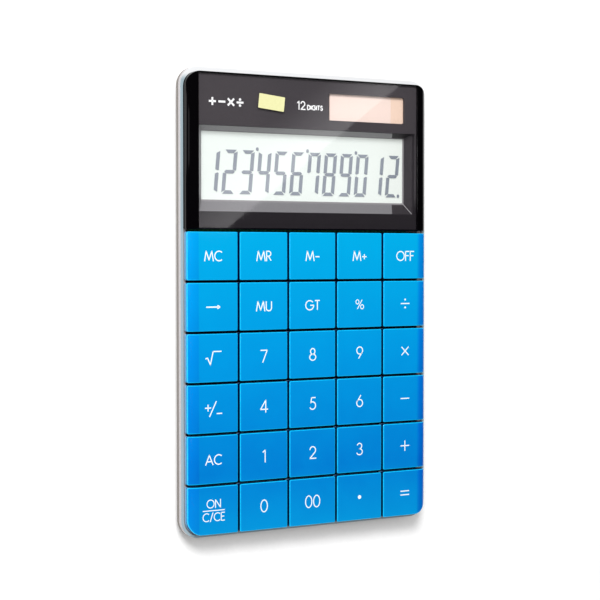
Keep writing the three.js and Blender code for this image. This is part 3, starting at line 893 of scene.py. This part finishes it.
def makeLcd():
    low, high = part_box("lcd_glass")
    bm = bmesh.new()
    addBlock(bm, low, high)
    roundEdges(bm, bm.edges[:], 0.12 * mm, 2)
    addPiece("lcd_panel", asMesh(bm), ["lcd"], "case", ["lcd_glass"])


# which of the seven bars a digit shows: a to f run clockwise from the top, g is in the middle
barsLit = {
    "0": "abcdef", "1": "bc", "2": "abged", "3": "abgcd", "4": "fgbc", "5": "afgcd", "6": "afgedc",
    "7": "fabc", "8": "abcdefg", "9": "abcdfg",
}
lcdDigits = dict(
    text="123456789012", left=-42.3 * mm, pitch=7.058 * mm, width=5.35 * mm, bottom=39.45 * mm,
    height=16.0 * mm, standing=1.45 * mm, level=1.25 * mm, gap=0.10 * mm, waist=0.42 * mm,
    slant=5.2, thick=0.05 * mm, lift=0.22 * mm,
)
# a comma after every third digit, and the point at the end
lcdDrops = dict(
    half=(0.55 * mm, 0.65 * mm), corner=0.44 * mm,
    places=((-20.35 * mm, 56.0 * mm), (0.95 * mm, 56.0 * mm), (22.25 * mm, 56.0 * mm),
            (41.4 * mm, 39.95 * mm)),
)


def barCorners(bar):
    # outline of one bar in a digit whose lower left corner is at 0, 0
    shape = lcdDigits
    width, middle, gap = shape["width"], shape["height"] / 2, shape["gap"]
    thin, thick = shape["level"], shape["standing"]
    if bar == "g":
        near, far = 0.35 * thick, 0.8 * thick
        half = [(near, 0), (far, thin / 2), (width - far, thin / 2), (width - near, 0)]
        return [(x, middle + y) for x, y in half] + [(x, middle - y) for x, y in half[2:0:-1]]
    if bar in "ad":
        corners = [(gap + 0.2 * thick, 0), (width - gap - 0.2 * thick, 0),
                   (width - thick - gap, thin), (thick + gap, thin)]
    else:
        waist = middle - shape["waist"]
        corners = [(0, gap + 0.4 * thin), (thick, thin + gap), (thick, waist - 0.3 * thin),
                   (0.4 * thick, waist), (0, waist - 0.1 * thin)]
    if bar in "bc":
        corners = [(width - x, y) for x, y in corners]
    if bar in "abf":
        corners = [(x, 2 * middle - y) for x, y in corners]
    return corners


def addSlab(bm, corners, bottom, thick):
    # a thin plate with this outline
    face = bm.faces.new([bm.verts.new((x, y, bottom)) for x, y in corners])
    made = bmesh.ops.extrude_face_region(bm, geom=[face])
    raised = [part for part in made["geom"] if isinstance(part, bmesh.types.BMVert)]
    bmesh.ops.translate(bm, vec=(0, 0, thick), verts=raised)


def makeDigits():
    shape = lcdDigits
    bm = bmesh.new()
    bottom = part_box("lcd_glass")[1].z + shape["lift"]
    for place, digit in enumerate(shape["text"]):
        left = shape["left"] + place * shape["pitch"]
        for bar in barsLit[digit]:
            corners = [(left + x, shape["bottom"] + y) for x, y in barCorners(bar)]
            addSlab(bm, corners, bottom, shape["thick"])
    lean = math.tan(math.radians(shape["slant"]))
    for vert in bm.verts:
        vert.co.x += lean * (vert.co.y - shape["bottom"])
    for place in lcdDrops["places"]:
        addDrop(bm, Vector(place), bottom)
    addPiece("lcd_digits", asMesh(bm), ["segment"], "case")


def addDrop(bm, place, bottom):
    verts = addUpright(bm, place, lcdDrops["half"], bottom, bottom + lcdDigits["thick"])
    roundEdges(bm, [edge for edge in edgesOf(verts) if upright(edge)], lcdDrops["corner"], 3)


def makeSolarCell():
    low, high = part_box("solar_cell")
    bm = bmesh.new()
    addBlock(bm, low, high)
    roundUprights(bm, 0.4 * mm, 3)
    addPiece("solar_plate", asMesh(bm), ["solar"], "case", ["solar_cell"])


stickerShape = dict(
    width=10.7 * mm, height=5.3 * mm, thick=0.05 * mm, lift=0.05 * mm, tilt=-6, corner=0.25 * mm,
)


def makeSticker():
    # a paper sticker whose right edge lifts a hair
    shape = stickerShape
    halfWidth, halfHeight = shape["width"] / 2, shape["height"] / 2
    bm = bmesh.new()
    addBlock(bm, (-halfWidth, -halfHeight, 0), (halfWidth, halfHeight, shape["thick"]))
    roundUprights(bm, shape["corner"], 3)
    for step in range(1, 8):
        sliceAt(bm, (shape["width"] * (step / 8 - 0.5), 0, 0), (1, 0, 0))
    for vert in bm.verts:
        vert.co.z += shape["lift"] * max(vert.co.x / halfWidth, 0) ** 3
    middle, bottom = nodeCentre("window_label"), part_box("window_label")[0].z
    turn = Matrix.Rotation(math.radians(shape["tilt"]), 3, "Z")
    bmesh.ops.rotate(bm, cent=(0, 0, 0), matrix=turn, verts=bm.verts)
    bmesh.ops.translate(bm, vec=(middle.x, middle.y, bottom), verts=bm.verts)
    addPiece("sticker", asMesh(bm), ["sticker"], "case", ["window_label"])


makeWindowRim()
makePane()
makeWindowMask()
makeWindowPrint()
makeLcd()
makeDigits()
makeSolarCell()
makeSticker()
print("display end made")


edgeRing = dict(
    well=51.4 * mm, lip=49.9 * mm, front=-83.45 * mm, rear=82.3 * mm, wellCorner=5.6 * mm,
    lipCorner=4 * mm, lipStep=0.25 * mm,
)


def makeSideFrame():
    ring = edgeRing
    well, lip, front, rear = ring["well"], ring["lip"], ring["front"], ring["rear"]
    block = roundedBlock(frameLow, frameHigh, [bodyCorner] * 4, 16)
    wellTool = roundedBlock((-well, front, deckHigh.z), (well, rear, frameHigh.z + 1 * mm),
                            [ring["wellCorner"]] * 4, 16)
    lipTool = roundedBlock((-lip, front + ring["lipStep"], frameLow.z - 1 * mm),
                           (lip, rear, frameHigh.z), [ring["lipCorner"]] * 4, 16)
    mesh = carve(asMesh(block), [asMesh(wellTool), asMesh(lipTool)])
    addPiece("edge_frame", mesh, ["frame"], "case", ["side_frame"], 30)


shellShape = dict(
    wall=1.6 * mm, outer=(6.5 * mm, 5.2 * mm), inner=(3.6 * mm, 3.8 * mm), steps=10, floor=1.4 * mm,
    bossRadius=3.2 * mm, bossTop=4.8 * mm, bossBottom=2.6 * mm, headRecess=2.6 * mm, hole=1.3 * mm,
    footHole=4.3 * mm, footDepth=1.8 * mm, coverHole=9.5 * mm, coverDepth=2.0 * mm, plugHole=7.6 * mm,
)
cornerNames = ("front_left", "front_right", "rear_left", "rear_right")  # each has a foot and a screw


def shellTray(inset, bottom, top, edge):
    # block whose lower edge is rounded by a quarter ellipse
    width, height = edge
    corner = bodyCorner - inset
    halfX, halfY = shellHigh.x - inset, shellHigh.y - inset
    bm = roundedBlock((-halfX, -halfY, bottom), (halfX, halfY, top), [corner] * 4, 14)
    for step in range(shellShape["steps"]):
        turn = math.pi / 2 * step / shellShape["steps"]
        sliceAt(bm, (0, 0, bottom + height * (1 - math.sin(turn))), (0, 0, 1))
    for vert in bm.verts:
        share = min(max(1 - (vert.co.z - bottom) / height, 0), 1)
        drawnIn = width * (1 - math.sqrt(1 - share * share))
        coreX = min(max(vert.co.x, corner - halfX), halfX - corner)
        coreY = min(max(vert.co.y, corner - halfY), halfY - corner)
        core = Vector((coreX, coreY))
        vert.co.xy = core + (vert.co.xy - core) * (1 - drawnIn / corner)
    return asMesh(bm)


def discMesh(centre, radius, low, high, segments=48):
    bm = bmesh.new()
    made = bmesh.ops.create_cone(bm, cap_ends=True, segments=segments, radius1=radius, radius2=radius,
                                 depth=high - low)
    bmesh.ops.translate(bm, vec=(centre.x, centre.y, (low + high) / 2), verts=made["verts"])
    return asMesh(bm)


def makeBackShell():
    shape = shellShape
    floorTop = shellLow.z + shape["floor"]
    shell = shellTray(0, shellLow.z, shellHigh.z, shape["outer"])
    tools = [shellTray(shape["wall"], floorTop, shellHigh.z + 1 * mm, shape["inner"])]
    for place in cornerNames:
        tools.append(discMesh(nodeCentre("screw_" + place), shape["headRecess"], 0, floorTop + 1 * mm))
        tools.append(discMesh(nodeCentre("foot_" + place), shape["footHole"], 0, shape["footDepth"]))
    cover = nodeCentre("battery_cover")
    tools.append(discMesh(cover, shape["coverHole"], 0, shape["coverDepth"], 64))
    tools.append(discMesh(cover, shape["plugHole"], 0, 4 * mm, 64))
    addPiece("back_cover", carve(shell, tools), ["shell"], "case", ["back_shell"], 30)
    for place in cornerNames:
        makeBoss(place)


def makeBoss(place):
    # the tube round a screw on the shell's floor
    inner, outer = shellShape["hole"], shellShape["bossRadius"]
    bottom, top = shellShape["bossBottom"], shellShape["bossTop"]
    profile = [(inner, bottom), (outer, bottom), (outer, top), (inner, top)]
    tube = turnedMesh(profile, nodeCentre("screw_" + place), 32, True)
    addPiece("boss_" + place, tube, ["shell"], "case")


def turnedMesh(profile, centre, steps, closed=False):
    # a profile of radius and height, turned round an upright axis
    bm = bmesh.new()
    verts = [bm.verts.new((radius, 0, z)) for radius, z in profile]
    edges = [bm.edges.new(pair) for pair in zip(verts, verts[1:])]
    if closed:
        edges.append(bm.edges.new((verts[-1], verts[0])))
    bmesh.ops.spin(bm, geom=verts + edges, cent=(0, 0, 0), axis=(0, 0, 1), angle=2 * math.pi,
                   steps=steps, use_merge=True, dvec=(0, 0, 0))
    bmesh.ops.remove_doubles(bm, verts=bm.verts, dist=sameSpot)
    bmesh.ops.translate(bm, vec=(centre.x, centre.y, 0), verts=bm.verts)
    return asMesh(bm)


footShape = dict(radius=4 * mm, top=1.5 * mm, edge=0.45 * mm, face=2.8 * mm, steps=6)


def makeFoot(place):
    radius, top, edge, steps = [footShape[part] for part in ("radius", "top", "edge", "steps")]
    profile = [(0, 0), (footShape["face"], 0)]
    for step in range(steps + 1):
        turn = math.pi / 2 * step / steps
        profile.append((radius - edge + edge * math.sin(turn), edge - edge * math.cos(turn)))
    profile += [(radius, top), (0, top)]
    node = "foot_" + place
    addPiece("pad_" + place, turnedMesh(profile, nodeCentre(node), 48), ["foot"], "case", [node])


screwShape = dict(
    shaft=1.0 * mm, dome=0.3 * mm, domeSteps=6, headHeight=1.1 * mm, threadStart=1.3 * mm,
    threadPitch=0.8 * mm, threadTurns=5, tip=0.1 * mm, crossHalf=1.3 * mm, crossWidth=0.28 * mm,
    crossDepth=0.7 * mm,
)


def makeScrew(place):
    # domed head, thread as rings, and a cross for the driver
    shape = screwShape
    node = "screw_" + place
    low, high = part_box(node)
    centre = (low + high) / 2
    head, shaft, pitch = high.x - centre.x, shape["shaft"], shape["threadPitch"]
    profile = [(0, low.z)]
    for step in range(1, shape["domeSteps"] + 1):
        turn = math.pi / 2 * step / shape["domeSteps"]
        profile.append((head * math.sin(turn), low.z + shape["dome"] * (1 - math.cos(turn))))
    headTop = low.z + shape["headHeight"]
    profile += [(head, headTop), (shaft, headTop)]
    for turnNumber in range(shape["threadTurns"]):
        z = low.z + shape["threadStart"] + turnNumber * pitch
        profile += [(shaft * 0.78, z), (shaft, z + pitch * 0.4)]
    profile += [(shaft * 0.5, high.z - shape["tip"]), (0, high.z)]
    body = turnedMesh(profile, centre, 40)
    tools = []
    for half in ((shape["crossHalf"], shape["crossWidth"]), (shape["crossWidth"], shape["crossHalf"])):
        tool = bmesh.new()
        addUpright(tool, centre, half, 0, low.z + shape["crossDepth"])
        tools.append(asMesh(tool))
    addPiece("fixing_" + place, carve(body, tools), ["screw"], "case", [node], 30)


coverShape = dict(
    edge=0.25 * mm, rimHeight=0.5 * mm, plug=7.3 * mm, plugHeight=1.1 * mm, neck=6.6 * mm,
    slotHalf=(6 * mm, 0.8 * mm), slotDepth=0.7 * mm, slotCorner=0.75 * mm,
    lugHalf=(8.6 * mm, 1.8 * mm), lugBottom=2.9 * mm, lugCorner=0.5 * mm,
)


def makeBatteryCover():
    # a disc with a coin slot, a plug above it and two lugs that lock behind the shell
    shape = coverShape
    node = "battery_cover"
    low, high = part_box(node)
    centre = (low + high) / 2
    rim, edge, plug, neck = (high.x - low.x) / 2, shape["edge"], shape["plug"], shape["neck"]
    rimTop, plugTop = low.z + shape["rimHeight"], low.z + shape["plugHeight"]
    profile = [(0, low.z), (rim - edge, low.z), (rim, low.z + edge), (rim, rimTop), (plug, rimTop),
               (plug, plugTop), (neck, plugTop), (neck, high.z), (0, high.z)]
    body = turnedMesh(profile, centre, 72)
    slot = bmesh.new()
    addUpright(slot, centre, shape["slotHalf"], 0, low.z + shape["slotDepth"])
    roundUprights(slot, shape["slotCorner"], 5)
    addPiece("twist_cover", carve(body, [asMesh(slot)]), ["shell"], node, [node], 30)
    lug = bmesh.new()
    addUpright(lug, centre, shape["lugHalf"], shape["lugBottom"], high.z)
    roundUprights(lug, shape["lugCorner"], 4)
    addPiece("twist_lugs", asMesh(lug), ["shell"], node)


makeSideFrame()
makeBackShell()
makeBatteryCover()
for place in cornerNames:
    makeFoot(place)
    makeScrew(place)
print("case made")

# CAD nodes that stay, with their finishes
nodeFinishes = dict(
    key_deck="deck", key_mat="mat", circuit_board="board", controller_blob="epoxy",
    storage_capacitor="sleeve", display_frame="bezel", lcd_reflector="reflector",
    lcd_connector="strip", solar_lead_positive="redWire", solar_lead_negative="blackWire",
    coin_cell="cell", cell_top_contact="contact", cell_side_contact="contact",
)
for node, look in nodeFinishes.items():
    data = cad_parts[node].data
    data.materials.clear()
    data.materials.append(finishes[look])


view = dict(target=(-5.46 * mm, 0.62 * mm, faceTop), distance=0.5675, yaw=-30.0, pitch=-1.67, lens=92.24)


def makeCamera():
    camera = bpy.data.objects.new("camera", bpy.data.cameras.new("camera"))
    camera.data.lens = view["lens"]
    camera.data.clip_start = 0.01
    yaw = Matrix.Rotation(math.radians(view["yaw"]), 4, "Y")
    turn = yaw @ Matrix.Rotation(math.radians(view["pitch"]), 4, "X")
    place = Vector(view["target"]) + turn.to_3x3() @ Vector((0, 0, view["distance"]))
    camera.matrix_world = Matrix.Translation(place) @ turn
    scene.collection.objects.link(camera)
    scene.camera = camera


def makeFloor():
    bm = bmesh.new()
    bmesh.ops.create_grid(bm, x_segments=1, y_segments=1, size=4)
    mesh = bpy.data.meshes.new("floor")
    bm.to_mesh(mesh)
    bm.free()
    floor = bpy.data.objects.new("floor", mesh)
    sheet = Finish("floor paper")
    grain = sheet.noise(1.5 * mm, 3)
    colour = sheet.mottle(grain, (0.90, 0.90, 0.90), (0.88, 0.88, 0.88))
    mesh.materials.append(sheet.surface(colour, 0.9))
    scene.collection.objects.link(floor)


lights = dict(
    key=dict(towards=(-0.42, 0.52, 0.76), distance=1.6, size=0.5, power=23),
    fill=dict(towards=(-0.45, 0.2, 0.9), distance=1.8, size=1.2, power=16.5),
)


def makeLight(name, towards, distance, size, power):
    light = bpy.data.lights.new(name, "AREA")
    light.size = size
    light.energy = power
    lamp = bpy.data.objects.new(name, light)
    direction = Vector(towards).normalized()
    turn = direction.to_track_quat("Z", "Y").to_matrix().to_4x4()
    lamp.matrix_world = Matrix.Translation(direction * distance) @ turn
    lamp.visible_glossy = False
    scene.collection.objects.link(lamp)


room = dict(ambient=0.33, mirrored=0.004)


def makeWorld():
    # the room is white to look at and to light by, and dark where it would mirror in the face
    world = bpy.data.worlds.new("studio")
    world.use_nodes = True
    tree = world.node_tree
    background = tree.nodes["Background"]
    background.inputs["Color"].default_value = (1, 1, 1, 1)
    path = tree.nodes.new("ShaderNodeLightPath")
    shade = tree.nodes.new("ShaderNodeMapRange")
    shade.inputs["To Min"].default_value = room["ambient"]
    shade.inputs["To Max"].default_value = room["mirrored"]
    tree.links.new(path.outputs["Is Glossy Ray"], shade.inputs["Value"])
    lit = tree.nodes.new("ShaderNodeMath")
    lit.operation = "MAXIMUM"
    tree.links.new(shade.outputs[0], lit.inputs[0])
    tree.links.new(path.outputs["Is Camera Ray"], lit.inputs[1])
    tree.links.new(lit.outputs[0], background.inputs["Strength"])
    scene.world = world


def mirrorPoint(x, y, height):
    # where a card at this height has to be to show at x, y in the flat face
    eye = scene.camera.matrix_world.translation
    below = 2 * faceTop - eye.z
    share = (height - below) / (faceTop - below)
    return Vector((eye.x + (x - eye.x) * share, eye.y + (y - eye.y) * share, height))


# a lit card that shows in the window as a slanting sheen, brightest along its slanting edge
sheen = dict(
    upper=(39.1 * mm, 82.2 * mm), lower=(-35.6 * mm, 26.6 * mm), left=-60 * mm,
    height=0.5, strength=1.15, reach=44 * mm,
)
cardWhite = (1, 0.98, 1)


def addCard(name, corners, strength, shaded=None):
    # a card that only mirrors show
    bm = bmesh.new()
    bm.faces.new([bm.verts.new(corner) for corner in corners])
    mesh = bpy.data.meshes.new(name)
    bm.to_mesh(mesh)
    bm.free()
    sheet = Finish(name)
    colour = rgba(cardWhite)
    if shaded:
        # it fades from the first of two points to the second
        start, end = shaded
        way = (end - start).normalized()
        reached = sheet.node("ShaderNodeVectorMath", {"operation": "DOT_PRODUCT"},
                             {0: sheet.place(), 1: way}, out="Value")
        along = (reached - start.dot(way)) / (end - start).length
        colour = sheet.mix(sheet.fade(along, 0, 1), cardWhite, dim(cardWhite, 0.08))
    shader = sheet.node("ShaderNodeEmission", sockets={"Color": colour, "Strength": strength})
    mesh.materials.append(sheet.show(shader))
    card = bpy.data.objects.new(name, mesh)
    scene.collection.objects.link(card)
    card.visible_camera = False
    card.visible_diffuse = False
    card.visible_shadow = False
    card.visible_transmission = False


def makeSheen():
    upper, lower, left = sheen["upper"], sheen["lower"], sheen["left"]
    outline = [lower, upper, (left, upper[1]), (left, lower[1])]
    corners = [mirrorPoint(x, y, sheen["height"]) for x, y in outline]
    start = mirrorPoint(*lower, sheen["height"])
    along = (mirrorPoint(*upper, sheen["height"]) - start).normalized()
    across = Vector((-along.y, along.x, 0))
    addCard("sheen card", corners, sheen["strength"], (start, start + across * sheen["reach"]))


# two strips that show as thin lines down the window's left rolled edge, and how many degrees
# left of upright they stand
strips = dict(
    low=dict(nearest=73, furthest=91, strength=0.9),
    high=dict(nearest=42, furthest=53, strength=0.5),
)


def makeStrip(name, nearest, furthest, strength):
    distance = 0.5
    rows = [windowLow.y + 10 * mm, windowHigh.y + 55 * mm]
    corners = []
    for angle, y in ((nearest, rows[0]), (nearest, rows[1]), (furthest, rows[1]), (furthest, rows[0])):
        turn = math.radians(angle)
        corners.append((windowLow.x - distance * math.sin(turn), y, faceTop + distance * math.cos(turn)))
    addCard("strip " + name, corners, strength)


makeCamera()
makeFloor()
makeWorld()
for name, light in lights.items():
    makeLight(name, **light)
makeSheen()
for name, strip in strips.items():
    makeStrip(name, **strip)
scene.view_settings.view_transform = "Standard"
print("stage made")
